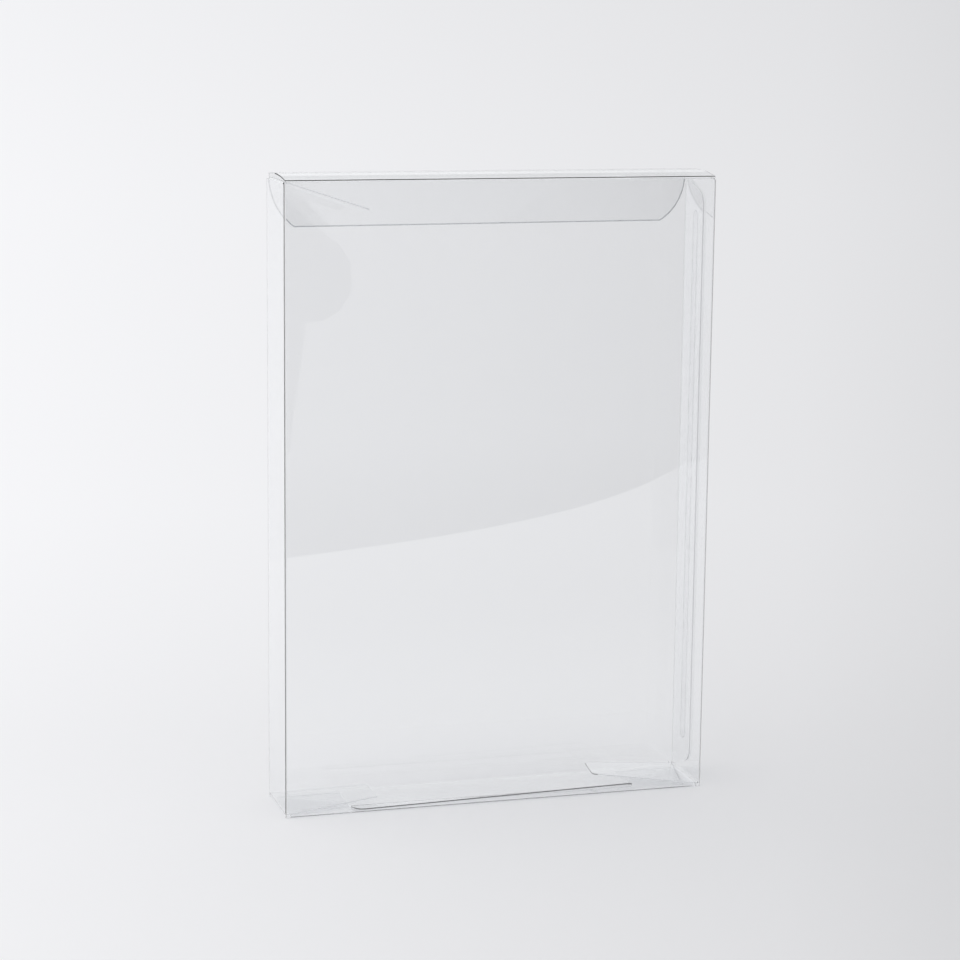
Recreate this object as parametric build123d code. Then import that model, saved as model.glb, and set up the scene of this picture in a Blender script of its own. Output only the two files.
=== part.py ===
from build123d import *

import os
from math import cos, radians, sin, tan

# A tall clear box folded from one die-cut film, with its side seam glued.
# The origin is under the middle of the box, on the surface that it stands on.
# X runs along the wide front panel, Y runs from front to back and Z points up.

# Overall size, outside, in millimetres
box_width = 128.0
box_depth = 24.0
panel_height = 184.0

# Film and folds
film = 0.35
layer_gap = 0.10
fold_radius = 0.60
corner_relief = 0.9
foot_width = 1.4
foot_depth = 1.2
hinge_gap = 0.05

# Lid and tuck flap
lid_side_gap = 0.4
lid_front_slope = 10.0
lid_rear_slope = 7.5
tuck_gap = 0.25
tuck_lean = 4.7
tuck_depth = 15.35
tuck_skew = 0.33
tuck_left_gap = 0.35
tuck_right_gap = 0.3
tuck_shoulder = 1.2
tuck_left_radius = 18.4
tuck_right_radius = 16.2

# Dust flaps under the lid
dust_flap_length = 26.0
dust_flap_front_gap = 1.1
dust_flap_rear_gap = 3.2
dust_flap_end_width = 13.0
dust_flap_corner = 3.0
left_dust_droop = 18.0
right_dust_droop = 0.0

# Side seam
glue_flap_width = 15.6
glue_flap_taper = 4.8
glue_flap_corner = 5.0
glue_layer = 0.10
glue_bead_width = 4.2
glue_bead_edge_gap = 4.2
glue_bead_end_gap = 10.0
seam_edge_gap = 0.5

# Snap-lock bottom: a front flap with two legs
leg_width = 20.3
leg_reach = 19.0
leg_inner_reach = 10.5
recess_reach = 4.0
recess_corner = 1.5

# Snap-lock bottom: two side flaps
side_flap_length = 29.0
side_flap_end_width = 12.3
side_flap_front_gap = 1.4
side_flap_rear_gap = 1.0
side_flap_corner = 1.2
left_side_flap_rise = 1.1
left_side_flap_slant = 0.4
right_side_flap_rise = 4.7
right_side_flap_slant = 1.6

# Snap-lock bottom: a rear flap with a tongue
tongue_side_gap = 0.3
tongue_front_gap = 0.8
tongue_corner = 3.5
tongue_base_reach = 3.5
tongue_ramp_angle = 16.0
tongue_recess_gap = 0.8
tongue_flat_overlap = 1.0
tongue_right_lift = 1.6

# Places that follow from the sizes
half_width = box_width / 2
half_depth = box_depth / 2
layer = film + layer_gap
rear_crease_z = 0.0
front_crease_z = layer
side_crease_z = 2 * layer
top_crease_z = front_crease_z + panel_height
side_top_z = top_crease_z - layer
wall_low_z = side_crease_z + fold_radius
wall_high_z = side_top_z - fold_radius
lid_split_z = top_crease_z - fold_radius
strip_half_width = half_width - fold_radius - corner_relief
reach_past = 5.0


def heading_vector(angle):
    return Vector(cos(radians(angle)), sin(radians(angle)))


def right_of(angle):
    """Direction at right angles to a heading, on its right."""
    return heading_vector(angle - 90)


def bent_film(start, heading, moves):
    """Outline of a bent film seen from its end, with where it stops and how it heads there.

    The path runs along the outer face. The film and every bend lie on its right.
    A move is a run, given as a length, or a bend, given as a turn and an outside radius.
    """
    outer = Vector(*start)
    inner = outer + right_of(heading) * film
    start_cap = Line(inner, outer)
    outer_side = []
    inner_side = []
    for move in moves:
        if isinstance(move, tuple):
            turn, radius = move
            centre = outer + right_of(heading) * radius
            middle = right_of(heading - turn / 2) * -1
            finish = right_of(heading - turn) * -1
            heading = heading - turn
            next_outer = centre + finish * radius
            next_inner = centre + finish * (radius - film)
            outer_side.append(ThreePointArc(outer, centre + middle * radius, next_outer))
            inner_side.append(ThreePointArc(inner, centre + middle * (radius - film), next_inner))
        else:
            next_outer = outer + heading_vector(heading) * move
            next_inner = inner + heading_vector(heading) * move
            outer_side.append(Line(outer, next_outer))
            inner_side.append(Line(inner, next_inner))
        outer = next_outer
        inner = next_inner
    end_cap = Line(outer, inner)
    edges = [start_cap] + outer_side + [end_cap] + inner_side
    return make_face(Curve() + edges), outer, heading


def creased_film(points):
    """Outline of a film with sharp creases, seen from its end, lying above the given path."""
    path = [Vector(*point) for point in points]
    steps = [(after - before).normalized() for before, after in zip(path, path[1:])]
    upward = [Vector(-step.Y, step.X) for step in steps]
    before_each = [upward[0]] + upward
    after_each = upward + [upward[-1]]
    above = []
    for point, before, after in zip(path, before_each, after_each):
        above.append(point + (before + after) * (film / (1 + before.dot(after))))
    return make_face(Polyline(*path, *above[::-1], close=True))


def plan_outline(points, rounded=(), radius=0.0):
    """Flat outline from its corners, with the numbered corners rounded."""
    outline = make_face(Polyline(*points, close=True))
    corners = [Vector(*points[number]) for number in rounded]
    chosen = [v for v in outline.vertices() if any((Vector(v) - c).length < film for c in corners)]
    return fillet(chosen, radius) if chosen else outline


def across_width(profile, half_length):
    """Film profile drawn in Y and Z, extended evenly along X."""
    return extrude(Plane.YZ * profile, half_length, both=True)


def along_depth(profile, half_length):
    """Film profile drawn in X and Z, extended evenly along Y."""
    return extrude(Plane.XZ * profile, half_length, both=True)


def column(outline, low_z, high_z):
    """Upright prism over a plan outline."""
    return extrude(Plane.XY.offset(low_z) * outline, high_z - low_z)


def mirrored_x(points):
    return [(-x, y) for x, y in points]


def panel_ring():
    """The four upright panels from above, from the right panel's raw edge to the glue flap's fold."""
    seam_step = film + glue_layer
    start = (half_width, half_depth - seam_edge_gap)
    moves = [
        box_depth - seam_edge_gap - fold_radius,
        (90, fold_radius),
        box_width - 2 * fold_radius,
        (90, fold_radius),
        box_depth - 2 * fold_radius,
        (90, fold_radius),
        box_width - 2 * fold_radius - seam_step,
        (90, fold_radius),
    ]
    ring, _, _ = bent_film(start, -90, moves)
    return ring


def panel_tube():
    return column(panel_ring(), wall_low_z, wall_high_z)


def corner_feet(side, crease_z):
    """Lower ends of the two upright folds at the front (side -1) or rear (side 1).

    They reach down past the side flaps' creases to that side's own crease.
    """
    ring = column(panel_ring(), crease_z, wall_low_z)
    middle_x = half_width - foot_width / 2
    middle_y = side * (half_depth - foot_depth / 2)
    foot = column(Rectangle(foot_width, foot_depth), crease_z, wall_low_z)
    return ring & (Pos(-middle_x, middle_y) * foot + Pos(middle_x, middle_y) * foot)


def glue_flap():
    """Tapered flap behind the right panel's rear edge, folded from the rear panel."""
    fold_y = half_depth - fold_radius
    free_y = half_depth - glue_flap_width
    outline = plan_outline(
        [
            (fold_y, wall_low_z),
            (fold_y, wall_high_z),
            (free_y, wall_high_z - glue_flap_taper),
            (free_y, wall_low_z + glue_flap_taper),
        ],
        rounded=(2, 3),
        radius=glue_flap_corner,
    )
    outer_face_x = half_width - film - glue_layer
    return extrude(Plane.YZ.offset(outer_face_x - film) * outline, film)


def front_panel_top():
    """Stretch of the front panel between the tube and the lid's hinge line."""
    half_length = half_width - fold_radius
    outline = plan_outline(
        [
            (-half_depth, wall_high_z),
            (-half_depth, lid_split_z),
            (-half_depth + film, lid_split_z),
            (-half_depth + film, wall_high_z),
        ]
    )
    return across_width(outline, half_length)


def rear_panel_top():
    """Free top edge of the rear panel, with its corners rounded."""
    half_length = half_width - fold_radius - film - glue_layer
    outline = plan_outline(
        [
            (-half_length, wall_high_z),
            (-half_length, side_top_z),
            (half_length, side_top_z),
            (half_length, wall_high_z),
        ],
        rounded=(1, 2),
        radius=fold_radius / 2,
    )
    return extrude(Plane.XZ.offset(-half_depth) * outline, film)


def dust_flap(droop):
    """Flap folded in from the left panel's top edge, drooping under the lid."""
    profile, _, _ = bent_film((-half_width, wall_high_z), 90, [(90 + droop, fold_radius), dust_flap_length])
    front_y = -half_depth + film + dust_flap_front_gap
    rear_y = half_depth - film - dust_flap_rear_gap
    end_x = -half_width + fold_radius + dust_flap_length * cos(radians(droop))
    outline = plan_outline(
        [
            (-half_width - reach_past, front_y),
            (end_x, front_y),
            (end_x, front_y + dust_flap_end_width),
            (-half_width + fold_radius, rear_y),
            (-half_width - reach_past, rear_y),
        ],
        rounded=(1, 2),
        radius=dust_flap_corner,
    )
    low_z = wall_high_z - dust_flap_length * sin(radians(droop)) - reach_past
    return along_depth(profile, half_depth) & column(outline, low_z, side_top_z + reach_past)


def front_bottom_flap():
    """Front flap of the snap-lock bottom, with a leg at each end of a long recess."""
    profile, _, _ = bent_film(
        (-half_depth + leg_reach + reach_past, front_crease_z),
        180,
        [
            leg_reach + reach_past - fold_radius,
            (90, fold_radius),
            wall_low_z - front_crease_z - fold_radius,
        ],
    )
    front_y = -half_depth - reach_past
    left_leg = [
        (-strip_half_width, front_y),
        (-strip_half_width, -half_depth + leg_reach),
        (-half_width + leg_width, -half_depth + leg_inner_reach),
        (-half_width + leg_width, -half_depth + recess_reach),
    ]
    outline = plan_outline(
        left_leg + mirrored_x(left_leg[::-1]),
        rounded=(1, 2, 3, 4, 5, 6),
        radius=recess_corner,
    )
    return across_width(profile, strip_half_width) & column(outline, -reach_past, wall_low_z)


def side_bottom_flap(rise, slant):
    """Right side flap of the snap-lock bottom, narrowing towards its raised and slanted end."""
    longest = side_flap_length + slant
    profile, _, _ = bent_film((half_width, wall_low_z), -90, [(90 + rise, fold_radius), longest])
    front_y = -half_depth + film + side_flap_front_gap
    rear_y = half_depth - film - side_flap_rear_gap
    end_x = half_width - fold_radius - side_flap_length * cos(radians(rise))
    outline = plan_outline(
        [
            (half_width + reach_past, front_y),
            (half_width - fold_radius - side_flap_front_gap, front_y),
            (end_x - slant * cos(radians(rise)), rear_y - side_flap_end_width),
            (end_x, rear_y),
            (half_width + reach_past, rear_y),
        ],
        rounded=(2, 3),
        radius=side_flap_corner,
    )
    high_z = side_crease_z + longest * sin(radians(rise)) + reach_past
    return along_depth(profile, half_depth) & column(outline, -reach_past, high_z)


def rear_bottom_flap():
    """Rear flap of the snap-lock bottom: a base along the crease and a wide tongue.

    The tongue lies under the legs' level, climbs over the front flap's recess and
    ends just behind the front panel, with its right end standing a little higher.
    """
    ramp_rise = 2 * layer
    ramp_end_y = -half_depth + recess_reach + tongue_recess_gap
    ramp_start_y = ramp_end_y + ramp_rise / tan(radians(tongue_ramp_angle))
    flat_end_y = ramp_start_y + tongue_flat_overlap
    tip_y = -half_depth + film + tongue_front_gap
    tongue_half_width = half_width - leg_width - tongue_side_gap

    profile, _, _ = bent_film(
        (half_depth, wall_low_z),
        -90,
        [
            wall_low_z - rear_crease_z - fold_radius,
            (90, fold_radius),
            half_depth - fold_radius - flat_end_y,
        ],
    )
    base_y = half_depth - tongue_base_reach
    left_edge = [
        (-strip_half_width, half_depth + reach_past),
        (-strip_half_width, base_y),
        (-tongue_half_width, base_y),
        (-tongue_half_width, flat_end_y - reach_past),
    ]
    flat_outline = plan_outline(left_edge + mirrored_x(left_edge[::-1]), rounded=(1, 6), radius=recess_corner)
    flat_part = across_width(profile, strip_half_width) & column(flat_outline, -reach_past, wall_low_z)

    def tip_profile(lift):
        path = [
            (flat_end_y, rear_crease_z),
            (ramp_start_y, rear_crease_z),
            (ramp_end_y, rear_crease_z + ramp_rise),
            (tip_y, rear_crease_z + ramp_rise + lift),
        ]
        mirrored_path = [(-y, z) for y, z in path]
        return mirror(creased_film(mirrored_path), Plane.YZ)

    left_section = Plane.YZ.offset(-tongue_half_width) * tip_profile(0.0)
    right_section = Plane.YZ.offset(tongue_half_width) * tip_profile(tongue_right_lift)
    tip_outline = plan_outline(
        [
            (-tongue_half_width, flat_end_y),
            (-tongue_half_width, tip_y),
            (tongue_half_width, tip_y),
            (tongue_half_width, flat_end_y),
        ],
        rounded=(1, 2),
        radius=tongue_corner,
    )
    tip = loft([left_section, right_section], ruled=True)
    tip = tip & column(tip_outline, -reach_past, ramp_rise + tongue_right_lift + reach_past)
    return flat_part + tip


def sleeve():
    """The whole folded film below the lid, as one piece."""
    return (
        panel_tube()
        + corner_feet(-1, front_crease_z)
        + corner_feet(1, rear_crease_z)
        + glue_flap()
        + front_panel_top()
        + rear_panel_top()
        + dust_flap(left_dust_droop)
        + mirror(dust_flap(right_dust_droop), Plane.YZ)
        + front_bottom_flap()
        + mirror(side_bottom_flap(left_side_flap_rise, left_side_flap_slant), Plane.YZ)
        + side_bottom_flap(right_side_flap_rise, right_side_flap_slant)
        + rear_bottom_flap()
    )


def seam_glue():
    """Flattened line of clear glue between the right panel and the glue flap."""
    free_y = half_depth - glue_flap_width
    middle_y = free_y + glue_bead_edge_gap + glue_bead_width / 2
    low_z = wall_low_z + glue_bead_end_gap
    high_z = wall_high_z - glue_bead_end_gap
    bead = SlotOverall(high_z - low_z, glue_bead_width, rotation=90)
    bead = Pos(middle_y, (low_z + high_z) / 2) * bead
    return extrude(Plane.YZ.offset(half_width - film - glue_layer) * bead, glue_layer)


def lid_profile():
    """Lid seen from its end: a fold above the hinge line and a shallow arch to the back."""
    front_turn = 90 - lid_front_slope
    fold_advance = fold_radius * (1 - sin(radians(lid_front_slope)))
    tuck_outer_y = half_depth - film - tuck_gap
    tuck_fold_advance = fold_radius * (1 - sin(radians(lid_rear_slope)))
    arch_advance = tuck_outer_y - tuck_fold_advance + half_depth - fold_advance
    arch_radius = arch_advance / (sin(radians(lid_front_slope)) + sin(radians(lid_rear_slope)))
    return bent_film(
        (-half_depth, lid_split_z + hinge_gap),
        90,
        [(front_turn, fold_radius), (lid_front_slope + lid_rear_slope, arch_radius)],
    )


def lid():
    profile, _, _ = lid_profile()
    return across_width(profile, half_width - lid_side_gap)


def tuck_flap():
    """Flap folded down from the lid's rear edge, with a big round at each end.

    Its free edge is a little askew, so the flap reaches lower at the left.
    """
    _, lid_end, heading = lid_profile()
    start = lid_end + heading_vector(heading) * hinge_gap
    profile, _, _ = bent_film(
        (start.X, start.Y),
        heading,
        [(90 + tuck_lean + heading, fold_radius), tuck_depth + tuck_skew],
    )
    left_x = film + tuck_left_gap - half_width
    right_x = half_width - 2 * film - glue_layer - tuck_right_gap
    top_z = start.Y + reach_past
    shoulder_z = start.Y - tuck_shoulder
    foot_z = shoulder_z - max(tuck_left_radius, tuck_right_radius)
    low_left = (left_x + tuck_left_radius, foot_z)
    low_right = (right_x - tuck_right_radius, foot_z)
    left_round = CenterArc((low_left[0], shoulder_z), tuck_left_radius, 180, 90)
    right_round = CenterArc((low_right[0], shoulder_z), tuck_right_radius, 270, 90)
    outline = make_face(
        Curve()
        + [
            Line((left_x, top_z), (right_x, top_z)),
            Line((right_x, top_z), (right_x, shoulder_z)),
            right_round,
            Line((low_right[0], shoulder_z - tuck_right_radius), low_right),
            Line(low_right, low_left),
            left_round,
            Line((left_x, shoulder_z), (left_x, top_z)),
        ]
    )
    free_z = start.Y - tuck_depth
    above_free_edge = plan_outline(
        [
            (-half_width, free_z - tuck_skew / 2),
            (half_width, free_z + tuck_skew / 2),
            (half_width, top_z),
            (-half_width, top_z),
        ]
    )
    trim = extrude(Plane.XZ * (outline & above_free_edge), half_depth + reach_past, both=True)
    return across_width(profile, half_width) & trim


parts = {
    "sleeve": sleeve(),
    "seam_glue": seam_glue(),
    "lid": lid(),
    "tuck_flap": tuck_flap(),
}

os.makedirs("parts", exist_ok=True)
for name, shape in parts.items():
    export_step(shape, f"parts/{name}.step")

_, lid_end, lid_heading = lid_profile()
tuck_axis = lid_end + right_of(lid_heading) * film
print("lid hinge line: y", -half_depth, "z", round(lid_split_z, 3))
print("tuck flap hinge line: y", round(tuck_axis.X, 3), "z", round(tuck_axis.Y, 3))
print("film volume in cubic millimetres:", round(sum(shape.volume for shape in parts.values())))
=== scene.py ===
from math import cos, pi, radians, sin

import bpy
from mathutils import Matrix, Vector


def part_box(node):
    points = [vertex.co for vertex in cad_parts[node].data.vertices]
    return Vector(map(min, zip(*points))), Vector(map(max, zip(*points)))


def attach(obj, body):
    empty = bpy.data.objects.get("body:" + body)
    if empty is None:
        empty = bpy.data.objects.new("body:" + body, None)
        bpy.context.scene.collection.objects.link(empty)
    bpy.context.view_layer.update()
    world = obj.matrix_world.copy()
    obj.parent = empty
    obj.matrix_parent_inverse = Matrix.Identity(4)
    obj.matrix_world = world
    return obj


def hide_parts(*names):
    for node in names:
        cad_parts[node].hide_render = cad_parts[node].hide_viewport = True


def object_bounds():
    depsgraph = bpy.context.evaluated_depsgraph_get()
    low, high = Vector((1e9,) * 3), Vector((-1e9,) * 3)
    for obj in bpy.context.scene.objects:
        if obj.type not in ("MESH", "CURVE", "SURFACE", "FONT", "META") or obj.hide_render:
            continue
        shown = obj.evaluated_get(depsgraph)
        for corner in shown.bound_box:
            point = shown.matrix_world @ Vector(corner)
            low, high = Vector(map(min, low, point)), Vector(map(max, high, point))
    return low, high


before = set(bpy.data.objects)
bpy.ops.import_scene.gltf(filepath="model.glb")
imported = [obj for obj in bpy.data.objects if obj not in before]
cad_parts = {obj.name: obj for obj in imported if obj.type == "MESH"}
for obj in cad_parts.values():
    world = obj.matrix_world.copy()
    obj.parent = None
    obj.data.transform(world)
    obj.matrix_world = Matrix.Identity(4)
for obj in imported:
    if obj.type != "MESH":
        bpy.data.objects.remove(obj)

cad_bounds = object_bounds()

# A clear folded film box on a pale table, lit and mirrored as in its photograph, in metres

# Camera, fitted to the corners of the box in the photograph, with its angles in degrees
camera_place = Vector((-0.21836, -0.73372, 0.23896))
camera_yaw = 16.356
camera_pitch = 10.635
camera_roll = -0.619
camera_lens = 99.42
camera_sensor = 36.0
camera_clip = (0.01, 200.0)

# Floor: brightness fanned out from the fixed spot that the photograph was taken from
# It goes from left to right and from near to far, and stays in place in every view
# These brightness changes are painted light, standing in for how the studio light falls across the table
floor_size = 500.0
fan_place = (-0.218, -0.734)
fan_height = 0.239
fan_heading = 16.4
fan_half_angle = 10.5
fan_bright_turn = 100
fan_distances = (0.25, 0.55)
fan_middle = 0.5
left_to_right = [(0.0, 0.932), (0.22, 0.892), (0.5, 0.845), (0.83, 0.792), (1.0, 0.735)]
far_to_near = [(0.0, 0.97), (0.2, 1.0), (0.5, 1.0), (0.72, 0.955), (1.0, 0.95)]
nearest_ratio = 0.4
paper_shares = (1.0, 1.003, 1.018)

# What the film mirrors: the table up to its edge and the darker room beyond, a painted reflection glowing
# on the floor in front, and a dark upright shape
# The room goes by heading from room_place, the mirror image of that spot in the front panel
table_levels = ((-0.233, 0.64), (-0.080, 0.86))
room_levels = [(0.0, 0.39), (0.5, 0.37), (1.0, 0.30)]
room_headings = (12.0, 20.5)
room_by_edge = ((-0.60, 1.0), (-0.42, 0.65))
room_place = (-0.218, 0.710)
table_edge_y = -0.3555
table_edge_slope = 0.331
table_edge_curve = 5.66
table_curve_end = 0.255
edge_blur = 0.0015
mirrored_from_y = (-0.05, -0.02)
shape_level = 0.03
shape_y = -0.6
shape_outline = [
    (0.045, 0.147), (0.0545, 0.1385), (0.0763, 0.118), (0.0905, 0.107), (0.0963, 0.098), (0.097, 0.084),
    (0.091, 0.074), (0.083, 0.069), (0.073, 0.068), (0.070, 0.044), (0.066, 0.018), (0.0645, 0.001),
    (0.050, 0.001),
]

# Light path counts that a ray has to pass: mirrorings, and film surfaces up to the rear panel
mirrorings = 0.5
surfaces_to_rear = 3.5

# Light on surfaces, and the surround that the camera sees
world_colour = (0.70, 0.70, 0.707)
open_colour = (0.83, 0.835, 0.85)
sun_strength = 1.15
sun_angle = 70.0
sun_heading = (0.6, -0.15, -0.8)

# Studio that the film mirrors: behind the box by height, falling off to the right
studio_turn = (-0.5, 0.1)
behind_levels = [
    (0.0, 0.91), (0.15, 0.975), (0.22, 0.987), (0.28, 0.765), (0.33, 0.765), (0.42, 1.0), (0.8, 0.945),
]
behind_fall = [(0.20, 1.0), (0.38, 0.89), (0.60, 0.66)]
studio_shares = (1.0, 1.012, 1.03)

# Room ahead of the box by heading in degrees, between two edges that lean with height
# Each edge has its heading, its lean, the level beyond it and half of its blur
ahead_left = (12.33, 50.0, 0.02, 0.04)
ahead_middle = [(13.0, 0.70), (18.0, 0.44)]
ahead_right = (18.15, -105.0, 0.33, 0.15)
ahead_darkest = (20.5, 0.04)
ahead_up = 0.083
ahead_high_range = (0.13, 0.26)
ahead_high_level = 0.60

# Film
film_ior = 1.57
film_tint = (0.991, 0.994, 0.997)
# Darker tint for a narrow band along the tuck flap's cut edge: painted shade
edge_band_shade_tint = (0.60, 0.62, 0.64)
film_let_through = (0.958, 0.960, 0.963, 1.0)
haze_range = (0.004, 0.012)
crease_roughness = 0.6
# Grey mixed in at the upright creases: partly the haze of stretched film, partly painted shade
crease_haze_and_shade_share = 0.7
crease_haze_and_shade_grey = 0.62
crease_x = (0.0637, 0.0641)
crease_y = (-0.0121, -0.0117)
# Width of the tuck flap's band of painted shade
edge_band_shade_width = 0.0003
smear_scale = 26.0
smear_detail = 4.0
smear_roughness = 0.6
smear_range = (0.45, 0.75)

# Cut edges, painted grey as shade for the lines that light bent in the film's edges makes: low and high
# corners of a zone, the axes that an edge there doesn't face, and its grey
edge_shade_tint_shares = (1.0, 1.01, 1.02)
facing_limit = 0.5
sleeve_edges = {
    "bottom flaps": ((-0.0634, -0.0116, -0.001), (0.0627, 0.0114, 0.0042), "z", 0.93),
    "dust flaps": ((-0.0627, -0.0116, 0.1600), (0.0627, 0.0114, 0.1860), "z", 0.95),
    "right side flap's end": ((0.0310, -0.0112, 0.0026), (0.0345, 0.0112, 0.0045), "z", 0.35),
    "front flap's recess": ((-0.0440, -0.0112, -0.001), (0.0440, -0.0070, 0.0045), "z", 0.45),
    "tongue's front": ((-0.0436, -0.0112, -0.001), (0.0436, -0.0090, 0.0045), "z", 0.18),
    "glue flap": ((0.0631, -0.0112, 0.0), (0.0636, 0.0112, 0.1860), "x", 0.80),
    "rear panel's top": ((-0.0640, 0.0115, 0.1800), (0.0640, 0.0121, 0.1860), "y", 0.90),
    "right panel's rear": ((0.0636, 0.0112, 0.0), (0.0641, 0.0118, 0.1860), "x", 0.90),
}
lid_edges = {
    "sides near the hinge": ((-0.0640, -0.0125, 0.1830), (0.0640, 0.002, 0.1860), "yz", 0.15),
    "sides near the rear": ((-0.0640, 0.002, 0.1830), (0.0640, 0.0125, 0.1860), "yz", 0.70),
}
tuck_edges = {
    "outline": ((-0.0640, 0.0090, 0.1650), (0.0640, 0.0125, 0.1840), "y", 0.20),
}

# Outline of the tuck flap
tuck_left = -0.0633
tuck_left_round = 0.0184
tuck_right = 0.0629
tuck_right_round = 0.0162
tuck_shoulder = 0.183773
tuck_low = 0.169623
tuck_slant = 0.00258

# Glue line, and the colour, cover and roughness of its face and rim
glue_clearance = 0.00002
glue_rim_width = 0.00025
glue_wave = 0.00012
glue_wave_pitches = (2300, 310)
glue_steps = 40
glue_round_steps = 10
glue_fade_steps = 4
glue_face_look = ((0.80, 0.82, 0.84), 0.05, 0.2)
glue_rim_look = ((0.30, 0.31, 0.33), 0.30, 0.4)
glue_ior = 1.2
streak_scale = 240.0
streak_detail = 3.0
streak_range = (0.35, 0.65)
streak_shares = (0.7, 1.3)


def new_material(name):
    """Empty node material, its node tree and its output."""
    material = bpy.data.materials.new(name)
    material.use_nodes = True
    tree = material.node_tree
    tree.nodes.clear()
    return material, tree, tree.nodes.new("ShaderNodeOutputMaterial")


def add_math(tree, operation, *values):
    """Math node; each value is a number or another node's output."""
    node = tree.nodes.new("ShaderNodeMath")
    node.operation = operation
    for socket, value in zip(node.inputs, values):
        if isinstance(value, (int, float)):
            socket.default_value = value
        else:
            tree.links.new(value, socket)
    return node.outputs[0]


def add_product(tree, first, *others):
    """All the values multiplied."""
    result = first
    for other in others:
        result = add_math(tree, "MULTIPLY", result, other)
    return result


def add_greatest(tree, first, *others):
    """The greatest of the values."""
    result = first
    for other in others:
        result = add_math(tree, "MAXIMUM", result, other)
    return result


def within(tree, value, low, high):
    """1 where the value lies between low and high, else 0."""
    return add_math(tree, "COMPARE", value, (low + high) / 2, (high - low) / 2)


def add_map(tree, value, from_low, from_high, to_low=0.0, to_high=1.0, smooth=True):
    """The value moved from one range to another and kept inside it, with soft ends where smooth."""
    node = tree.nodes.new("ShaderNodeMapRange")
    node.interpolation_type = "SMOOTHSTEP" if smooth else "LINEAR"
    for name, number in (
        ("From Min", from_low), ("From Max", from_high), ("To Min", to_low), ("To Max", to_high)
    ):
        node.inputs[name].default_value = number
    tree.links.new(value, node.inputs["Value"])
    return node.outputs["Result"]


def add_slope(tree, value, ends):
    """A level that goes evenly from one (value, level) end to the other."""
    (low, first), (high, second) = ends
    return add_map(tree, value, low, high, first, second, smooth=False)


def add_ramp(tree, factor, stops):
    """Ramp of grey levels, from (place, level) stops."""
    node = tree.nodes.new("ShaderNodeValToRGB")
    elements = node.color_ramp.elements
    while len(elements) < len(stops):
        elements.new(0.5)
    for element, (place, level) in zip(elements, stops):
        element.position = place
        element.color = (level, level, level, 1.0)
    tree.links.new(factor, node.inputs[0])
    return node.outputs[0]


def add_mix(tree, factor, first, second):
    """Colour between first and second; each is a colour or another node's output."""
    node = tree.nodes.new("ShaderNodeMix")
    node.data_type = "RGBA"
    tree.links.new(factor, node.inputs[0])
    for name, value in (("A", first), ("B", second)):
        if isinstance(value, tuple):
            node.inputs[name].default_value = (*value[:3], 1.0)
        else:
            tree.links.new(value, node.inputs[name])
    return node.outputs["Result"]


def add_number_mix(tree, factor, first, second):
    """Number between first, another node's output, and second, a plain number."""
    node = tree.nodes.new("ShaderNodeMix")
    tree.links.new(factor, node.inputs[0])
    tree.links.new(first, node.inputs[2])
    node.inputs[3].default_value = second
    return node.outputs[0]


def add_shader_mix(tree, factor, first, second):
    """Shader between first and second."""
    node = tree.nodes.new("ShaderNodeMixShader")
    tree.links.new(factor, node.inputs[0])
    tree.links.new(first, node.inputs[1])
    tree.links.new(second, node.inputs[2])
    return node.outputs[0]


def add_emission(tree, colour):
    """Plain glow; colour is a grey level or another node's output."""
    node = tree.nodes.new("ShaderNodeEmission")
    if isinstance(colour, float):
        node.inputs["Color"].default_value = (colour, colour, colour, 1.0)
    else:
        tree.links.new(colour, node.inputs["Color"])
    return node.outputs[0]


def add_shares(tree, grey, shares):
    """A nearly grey colour: the grey level times a share for red, green and blue."""
    node = tree.nodes.new("ShaderNodeCombineColor")
    for socket, share in zip(node.inputs, shares):
        tree.links.new(add_product(tree, grey, share), socket)
    return node.outputs[0]


def add_split(tree, vector):
    """The X, Y and Z of a vector."""
    node = tree.nodes.new("ShaderNodeSeparateXYZ")
    tree.links.new(vector, node.inputs[0])
    return node.outputs[0], node.outputs[1], node.outputs[2]


def mirrored_rays(tree):
    """1 for a look in a mirroring film, and 0 for the light that falls on a surface."""
    path = tree.nodes.new("ShaderNodeLightPath")
    mirrored = add_math(tree, "GREATER_THAN", path.outputs["Glossy Depth"], mirrorings)
    return add_product(
        tree,
        mirrored,
        add_math(tree, "MAXIMUM", path.outputs["Is Glossy Ray"], path.outputs["Is Transmission Ray"]),
    )


def rear_mirrored(tree):
    """1 for a ray that has gone through the front panel before the film mirrored it."""
    path = tree.nodes.new("ShaderNodeLightPath")
    return add_math(tree, "GREATER_THAN", path.outputs["Transmission Depth"], surfaces_to_rear)


def edge_mask(tree, place, facing, low, high, level_axes):
    """1 on the cut edges in one zone: inside its box, and not facing along the given axes."""
    sides = [within(tree, *limits) for limits in zip(place, low, high)]
    turned = [
        within(tree, facing["xyz".index(axis)], -facing_limit, facing_limit) for axis in level_axes
    ]
    return add_product(tree, *sides, *turned)


def near_round(tree, x, z, side, centre_x, radius):
    """1 next to one rounded end of the tuck flap, on the left (side -1) or right (side 1)."""
    out_x = add_math(tree, "MULTIPLY", add_math(tree, "SUBTRACT", x, centre_x), side)
    out_z = add_math(tree, "SUBTRACT", tuck_shoulder, z)
    squares = add_math(tree, "ADD", add_product(tree, out_x, out_x), add_product(tree, out_z, out_z))
    reach = add_math(tree, "SQRT", squares)
    return add_product(
        tree,
        add_math(tree, "GREATER_THAN", reach, radius - edge_band_shade_width),
        add_math(tree, "GREATER_THAN", out_x, 0.0),
        add_math(tree, "GREATER_THAN", out_z, 0.0),
    )


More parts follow.
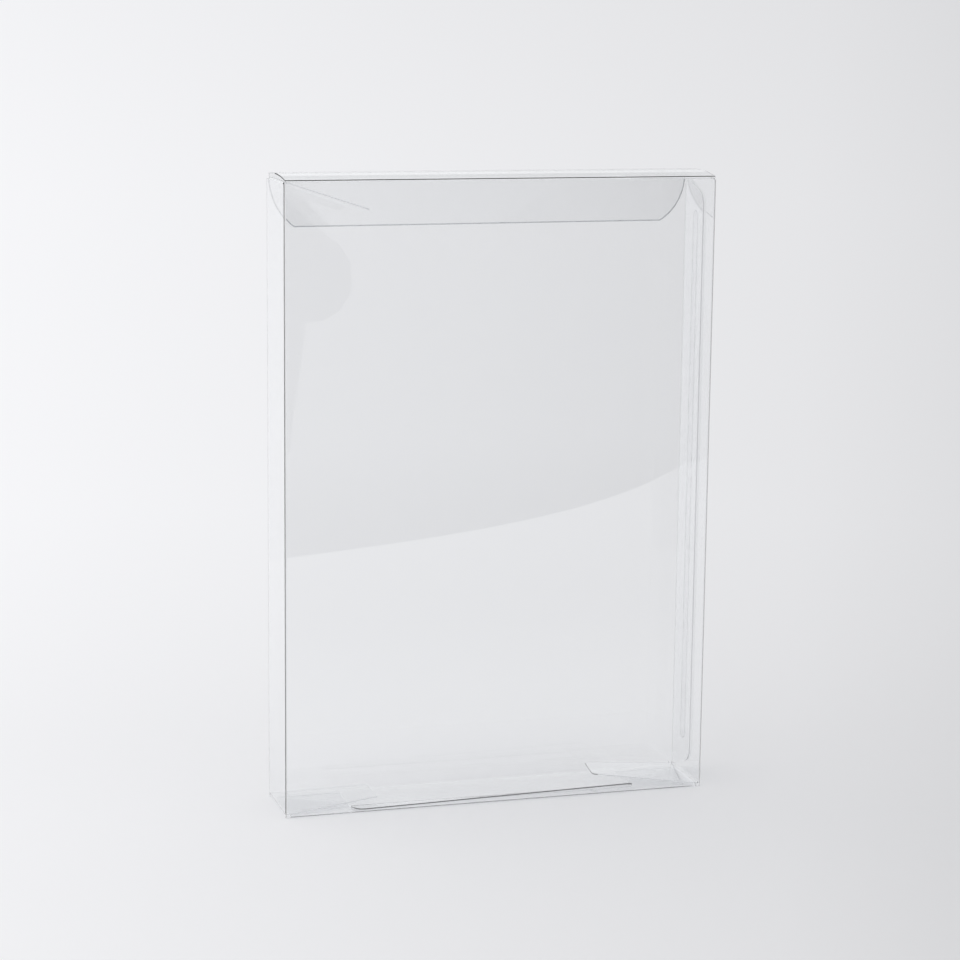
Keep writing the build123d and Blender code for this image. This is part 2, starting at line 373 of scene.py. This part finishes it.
def tuck_edge_band_shade(tree, place):
    """A narrow band on the tuck flap's faces along its cut edge, tinted darker: painted shade for the dark
    line the edge shows.
    """
    x, y, z = place
    free_edge = add_math(tree, "ADD", add_math(tree, "MULTIPLY", x, tuck_slant), tuck_low + edge_band_shade_width)
    return add_greatest(
        tree,
        add_math(tree, "LESS_THAN", z, free_edge),
        near_round(tree, x, z, -1.0, tuck_left + tuck_left_round, tuck_left_round),
        near_round(tree, x, z, 1.0, tuck_right - tuck_right_round, tuck_right_round),
    )


def upright_creases(tree, place):
    """The outside of the two upright folds at the front: the stretched film is hazy there, and the grey
    mixed in there is partly haze and partly painted shade.
    """
    x, y, z = place
    return add_product(
        tree,
        within(tree, add_math(tree, "ABSOLUTE", x), *crease_x),
        within(tree, y, *crease_y),
    )


def painted_edge_and_crease_shade(tree, place, facing, edges, crease):
    """How much grey is mixed into the film at its cut edges and creases, and the grey there: painted shade
    on the cut edges, partly haze and partly painted shade at the creases.

    Where zones overlap, the later one counts.
    """
    cuts = []
    shades = []
    for low, high, level_axes, level in edges.values():
        cuts.append(edge_mask(tree, place, facing, low, high, level_axes))
        shades.append(tuple(level * share for share in edge_shade_tint_shares))
    grey = shades[0]
    for cut, shade in zip(cuts[1:], shades[1:]):
        grey = add_mix(tree, cut, grey, shade)
    # Grey at the creases: partly the haze of stretched film, partly painted shade
    if crease:
        grey = add_mix(tree, crease, grey, (crease_haze_and_shade_grey,) * 3)
        cuts.append(add_product(tree, crease, crease_haze_and_shade_share))
    return add_greatest(tree, *cuts), grey


def film_material(name, edges, edge_band_shade=None, creases=None):
    """Clear polyester: bends light and mirrors it, has faint smears, and has cut edges painted grey as
    shade.
    """
    material, tree, output = new_material(name)
    coordinates = tree.nodes.new("ShaderNodeTexCoord")
    place = add_split(tree, coordinates.outputs["Object"])
    facing = add_split(tree, coordinates.outputs["Normal"])

    smears = tree.nodes.new("ShaderNodeTexNoise")
    smears.inputs["Scale"].default_value = smear_scale
    smears.inputs["Detail"].default_value = smear_detail
    smears.inputs["Roughness"].default_value = smear_roughness
    tree.links.new(coordinates.outputs["Object"], smears.inputs["Vector"])
    roughness = add_map(tree, smears.outputs[0], *smear_range, *haze_range)

    crease = creases(tree, place) if creases else None
    if crease:
        roughness = add_number_mix(tree, crease, roughness, crease_roughness)

    clear = tree.nodes.new("ShaderNodeBsdfPrincipled")
    clear.inputs["IOR"].default_value = film_ior
    clear.inputs["Transmission Weight"].default_value = 1.0
    clear.inputs["Base Color"].default_value = (*film_tint, 1.0)
    # Darker tint along the tuck flap's cut edge: painted shade
    if edge_band_shade:
        tint = add_mix(tree, edge_band_shade(tree, place), film_tint, edge_band_shade_tint)
        tree.links.new(tint, clear.inputs["Base Color"])
    tree.links.new(roughness, clear.inputs["Roughness"])

    # Grey at cut edges and creases: painted shade, at the creases partly haze too
    edge_shade_bsdf = tree.nodes.new("ShaderNodeBsdfDiffuse")
    edge_shade_share, grey = painted_edge_and_crease_shade(tree, place, facing, edges, crease)
    if isinstance(grey, tuple):
        edge_shade_bsdf.inputs["Color"].default_value = (*grey, 1.0)
    else:
        tree.links.new(grey, edge_shade_bsdf.inputs["Color"])
    film = add_shader_mix(tree, edge_shade_share, clear.outputs[0], edge_shade_bsdf.outputs[0])

    open_way = tree.nodes.new("ShaderNodeBsdfTransparent")
    open_way.inputs[0].default_value = film_let_through
    path = tree.nodes.new("ShaderNodeLightPath")
    lit = add_shader_mix(tree, path.outputs["Is Diffuse Ray"], film, open_way.outputs[0])
    surface = add_shader_mix(tree, path.outputs["Is Shadow Ray"], lit, open_way.outputs[0])
    tree.links.new(surface, output.inputs["Surface"])
    return material


def glue_material(name, colour, cover, roughness):
    """Dried clear glue: nearly invisible, with faint streaks."""
    material, tree, output = new_material(name)
    coordinates = tree.nodes.new("ShaderNodeTexCoord")
    streaks = tree.nodes.new("ShaderNodeTexNoise")
    streaks.inputs["Scale"].default_value = streak_scale
    streaks.inputs["Detail"].default_value = streak_detail
    tree.links.new(coordinates.outputs["Object"], streaks.inputs["Vector"])
    surface = tree.nodes.new("ShaderNodeBsdfPrincipled")
    surface.inputs["Base Color"].default_value = (*colour, 1.0)
    surface.inputs["Roughness"].default_value = roughness
    surface.inputs["IOR"].default_value = glue_ior
    alpha_range = [cover * share for share in streak_shares]
    alpha = add_map(tree, streaks.outputs[0], *streak_range, *alpha_range)
    tree.links.new(alpha, surface.inputs["Alpha"])
    tree.links.new(surface.outputs[0], output.inputs["Surface"])
    return material


def glue_loop(low, high, inset, x):
    """Points round the bead's outline, drawn in by inset: two slightly wavy sides and two round ends."""
    middle_y = (low.y + high.y) / 2
    radius = (high.y - low.y) / 2 - glue_wave - inset
    foot = low.z + radius + inset + glue_wave
    head = high.z - radius - inset - glue_wave
    fine, coarse = glue_wave_pitches
    points = []
    for side, start, finish in ((1, foot, head), (-1, head, foot)):
        for step in range(glue_steps):
            z = start + (finish - start) * step / glue_steps
            wave = glue_wave * sin(fine * z + side) * sin(coarse * z)
            fade = min(1.0, step / glue_fade_steps, (glue_steps - step) / glue_fade_steps)
            points.append(Vector((x, middle_y + side * (radius + wave * fade), z)))
        for step in range(glue_round_steps):
            angle = pi * step / glue_round_steps
            points.append(
                Vector((x, middle_y + side * radius * cos(angle), finish + side * radius * sin(angle)))
            )
    return points


def build_glue():
    """Flattened bead between the right panel and the glue flap, with a sloping rim all round."""
    low, high = (Vector(corner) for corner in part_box("seam_glue"))
    inner_x = low.x + glue_clearance
    outer_x = high.x - glue_clearance
    middle_x = (inner_x + outer_x) / 2
    loops = [
        glue_loop(low, high, glue_rim_width, inner_x),
        glue_loop(low, high, 0.0, middle_x),
        glue_loop(low, high, glue_rim_width, outer_x),
    ]
    count = len(loops[0])
    vertices = [point for loop in loops for point in loop]
    faces = [tuple(range(count))[::-1], tuple(range(2 * count, 3 * count))]
    for ring in (0, count):
        for number in range(count):
            after = (number + 1) % count
            faces.append((ring + number, ring + after, ring + count + after, ring + count + number))
    mesh = bpy.data.meshes.new("glue_bead")
    mesh.from_pydata(vertices, [], faces)
    mesh.materials.append(glue_material("clear_glue_look", *glue_face_look))
    mesh.materials.append(glue_material("glue_rim_look", *glue_rim_look))
    for face in mesh.polygons:
        face.material_index = 0 if face.index < 2 else 1
    bead = bpy.data.objects.new("glue_bead", mesh)
    bpy.context.scene.collection.objects.link(bead)
    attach(bead, "box")
    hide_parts("seam_glue")


def floor_paper_and_painted_light(tree, x, y):
    """Pale paper with painted light: brighter to the left and a little darker close by and far away."""
    right = add_math(tree, "SUBTRACT", x, fan_place[0])
    ahead = add_math(tree, "SUBTRACT", y, fan_place[1])
    heading = add_math(tree, "ARCTAN2", right, ahead)
    bright_heading = radians(fan_heading - fan_bright_turn)
    turn = add_math(tree, "WRAP", add_math(tree, "SUBTRACT", heading, bright_heading), pi, -pi)
    turn = add_math(tree, "ABSOLUTE", turn)
    turn_range = [radians(fan_bright_turn + side * fan_half_angle) for side in (-1, 1)]
    across = add_map(tree, turn, *turn_range, smooth=False)
    squares = add_math(tree, "ADD", add_product(tree, right, right), add_product(tree, ahead, ahead))
    distance = add_math(tree, "SQRT", squares)
    fade = add_map(tree, distance, *fan_distances)
    off_middle = add_math(tree, "SUBTRACT", across, fan_middle)
    across = add_math(tree, "ADD", add_product(tree, off_middle, fade), fan_middle)
    ratio = add_math(tree, "DIVIDE", fan_height, distance)
    along = add_map(tree, ratio, 0.0, nearest_ratio, smooth=False)
    grey = add_product(tree, add_ramp(tree, across, left_to_right), add_ramp(tree, along, far_to_near))
    return add_shares(tree, grey, paper_shares)


def painted_table_and_room_reflection(tree, x, y):
    """Painted reflection glowing on the floor in front: the table up to its curved edge, then the room, as
    the film mirrors them.
    """
    wall_gap = 2 * (cad_bounds[1][1] - cad_bounds[0][1])
    shifted_y = add_math(tree, "SUBTRACT", y, add_product(tree, rear_mirrored(tree), wall_gap))
    curved_x = add_math(tree, "MINIMUM", x, table_curve_end)
    cube = add_product(tree, curved_x, curved_x, curved_x, table_edge_curve)
    edge = add_math(tree, "ADD", shifted_y, add_product(tree, x, table_edge_slope))
    edge = add_math(tree, "ADD", edge, cube)
    beyond = add_map(tree, edge, table_edge_y - edge_blur, table_edge_y + edge_blur, 1.0, 0.0)
    heading = add_math(
        tree, "ARCTAN2",
        add_math(tree, "SUBTRACT", x, room_place[0]),
        add_math(tree, "SUBTRACT", room_place[1], y),
    )
    room_range = [radians(angle) for angle in room_headings]
    room = add_ramp(tree, add_map(tree, heading, *room_range, smooth=False), room_levels)
    room = add_product(tree, room, add_slope(tree, y, room_by_edge))
    return add_mix(tree, beyond, add_slope(tree, y, table_levels), room)


def floor_material():
    """Pale paper with painted light; in front of the box, mirrored rays see a painted reflection of a table
    edge and a darker room instead, glowing on the floor.
    """
    material, tree, output = new_material("pale_floor")
    coordinates = tree.nodes.new("ShaderNodeTexCoord")
    x, y, z = add_split(tree, coordinates.outputs["Object"])
    paper = tree.nodes.new("ShaderNodeBsdfPrincipled")
    paper.inputs["Roughness"].default_value = 1.0
    paper.inputs["Specular IOR Level"].default_value = 0.0
    # The paper's brightness changes are painted light
    tree.links.new(floor_paper_and_painted_light(tree, x, y), paper.inputs["Base Color"])
    # Glowing painted reflection of the table and the room
    mirrored = add_emission(tree, painted_table_and_room_reflection(tree, x, y))
    in_front = add_map(tree, y, *mirrored_from_y, 1.0, 0.0)
    use_mirrored = add_product(tree, mirrored_rays(tree), in_front)
    tree.links.new(add_shader_mix(tree, use_mirrored, paper.outputs[0], mirrored), output.inputs["Surface"])
    material.cycles.emission_sampling = "NONE"
    return material


def build_floor():
    """Level floor that reaches far past the view."""
    half = floor_size / 2
    mesh = bpy.data.meshes.new("floor")
    mesh.from_pydata(
        [(-half, -half, 0.0), (half, -half, 0.0), (half, half, 0.0), (-half, half, 0.0)],
        [],
        [(0, 1, 2, 3)],
    )
    floor = bpy.data.objects.new("floor", mesh)
    bpy.context.scene.collection.objects.link(floor)
    mesh.materials.append(floor_material())


def build_dark_shape():
    """Dark upright shape in front of the box, seen only where the front panel mirrors it."""
    material, tree, output = new_material("dark_shape")
    nothing = tree.nodes.new("ShaderNodeBsdfTransparent")
    dark = add_emission(tree, shape_level)
    by_front = add_math(tree, "SUBTRACT", 1.0, rear_mirrored(tree))
    seen = add_product(tree, mirrored_rays(tree), by_front)
    tree.links.new(add_shader_mix(tree, seen, nothing.outputs[0], dark), output.inputs["Surface"])
    material.cycles.emission_sampling = "NONE"
    mesh = bpy.data.meshes.new("dark_shape")
    mesh.from_pydata([(x, shape_y, z) for x, z in shape_outline], [], [tuple(range(len(shape_outline)))])
    mesh.materials.append(material)
    shape = bpy.data.objects.new("dark_shape", mesh)
    bpy.context.scene.collection.objects.link(shape)
    shape.visible_camera = False
    shape.visible_diffuse = False
    shape.visible_shadow = False


def leaning_edge(tree, heading, height, edge, lean, blur):
    """0 to the left of a blurred edge and 1 to its right; the edge leans with height."""
    leaning = add_math(tree, "ADD", heading, add_math(tree, "MULTIPLY", height, lean))
    return add_map(tree, leaning, edge - blur, edge + blur)


def studio_ahead(tree, right, back, up):
    """Room that the leaning tuck flap mirrors: a bright stretch between two darker ones."""
    heading = add_math(tree, "ARCTAN2", right, add_math(tree, "MULTIPLY", back, -1.0))
    heading = add_math(tree, "MULTIPLY", heading, 180 / pi)
    height = add_math(tree, "SUBTRACT", up, ahead_up)
    level = add_slope(tree, heading, ahead_middle)
    edge, lean, dark_level, blur = ahead_right
    inner = leaning_edge(tree, heading, height, edge, lean, blur)
    last, last_level = ahead_darkest
    dark = add_map(tree, heading, edge, last, dark_level, last_level, smooth=False)
    level = add_mix(tree, inner, level, dark)
    edge, lean, dark_level, blur = ahead_left
    inner = leaning_edge(tree, heading, height, edge, lean, blur)
    level = add_mix(tree, inner, (dark_level,) * 3, level)
    return add_mix(tree, add_map(tree, up, *ahead_high_range), level, (ahead_high_level,) * 3)


def build_world():
    """Plain light for surfaces, a pale surround for the camera, and a studio for reflections."""
    world = bpy.data.worlds.new("studio")
    bpy.context.scene.world = world
    world.use_nodes = True
    tree = world.node_tree
    tree.nodes.clear()
    output = tree.nodes.new("ShaderNodeOutputWorld")
    background = tree.nodes.new("ShaderNodeBackground")
    coordinates = tree.nodes.new("ShaderNodeTexCoord")
    right, back, up = add_split(tree, coordinates.outputs["Generated"])
    fall = add_ramp(tree, right, behind_fall)
    behind = add_shares(tree, add_product(tree, add_ramp(tree, up, behind_levels), fall), studio_shares)
    mirrored = add_mix(tree, add_map(tree, back, *studio_turn), studio_ahead(tree, right, back, up), behind)
    path = tree.nodes.new("ShaderNodeLightPath")
    straight = add_math(tree, "MAXIMUM", path.outputs["Is Camera Ray"], path.outputs["Is Transmission Ray"])
    plain = add_mix(tree, straight, world_colour, open_colour)
    tree.links.new(add_mix(tree, mirrored_rays(tree), plain, mirrored), background.inputs["Color"])
    tree.links.new(background.outputs[0], output.inputs["Surface"])


def build_sun():
    """One wide soft light from the upper left, even over the whole floor."""
    light = bpy.data.lights.new("soft_light", "SUN")
    light.energy = sun_strength
    light.angle = radians(sun_angle)
    lamp = bpy.data.objects.new("soft_light", light)
    lamp.matrix_world = Vector(sun_heading).to_track_quat("-Z", "Y").to_matrix().to_4x4()
    bpy.context.scene.collection.objects.link(lamp)


def build_camera():
    """Camera at the photograph's place and angle."""
    yaw, pitch, roll = (radians(angle) for angle in (camera_yaw, camera_pitch, camera_roll))
    ahead = Vector((sin(yaw) * cos(pitch), cos(yaw) * cos(pitch), -sin(pitch)))
    level_right = Vector((cos(yaw), -sin(yaw), 0.0))
    level_up = level_right.cross(ahead)
    right = level_right * cos(roll) - level_up * sin(roll)
    up = right.cross(ahead)
    data = bpy.data.cameras.new("camera")
    data.sensor_fit = "HORIZONTAL"
    data.sensor_width = camera_sensor
    data.lens = camera_lens
    data.clip_start, data.clip_end = camera_clip
    camera = bpy.data.objects.new("camera", data)
    turn = Matrix((right, up, -ahead)).transposed().to_4x4()
    camera.matrix_world = Matrix.Translation(camera_place) @ turn
    bpy.context.scene.collection.objects.link(camera)
    bpy.context.scene.camera = camera


def dress_film():
    """Gives each film node its look."""
    looks = {
        "sleeve": film_material("sleeve_film", sleeve_edges, creases=upright_creases),
        "lid": film_material("lid_film", lid_edges),
        "tuck_flap": film_material("tuck_film", tuck_edges, edge_band_shade=tuck_edge_band_shade),
    }
    for name, look in looks.items():
        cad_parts[name].material_slots[0].material = look


bpy.context.scene.view_settings.view_transform = "Standard"
build_camera()
build_floor()
build_dark_shape()
build_world()
build_sun()
dress_film()
build_glue()
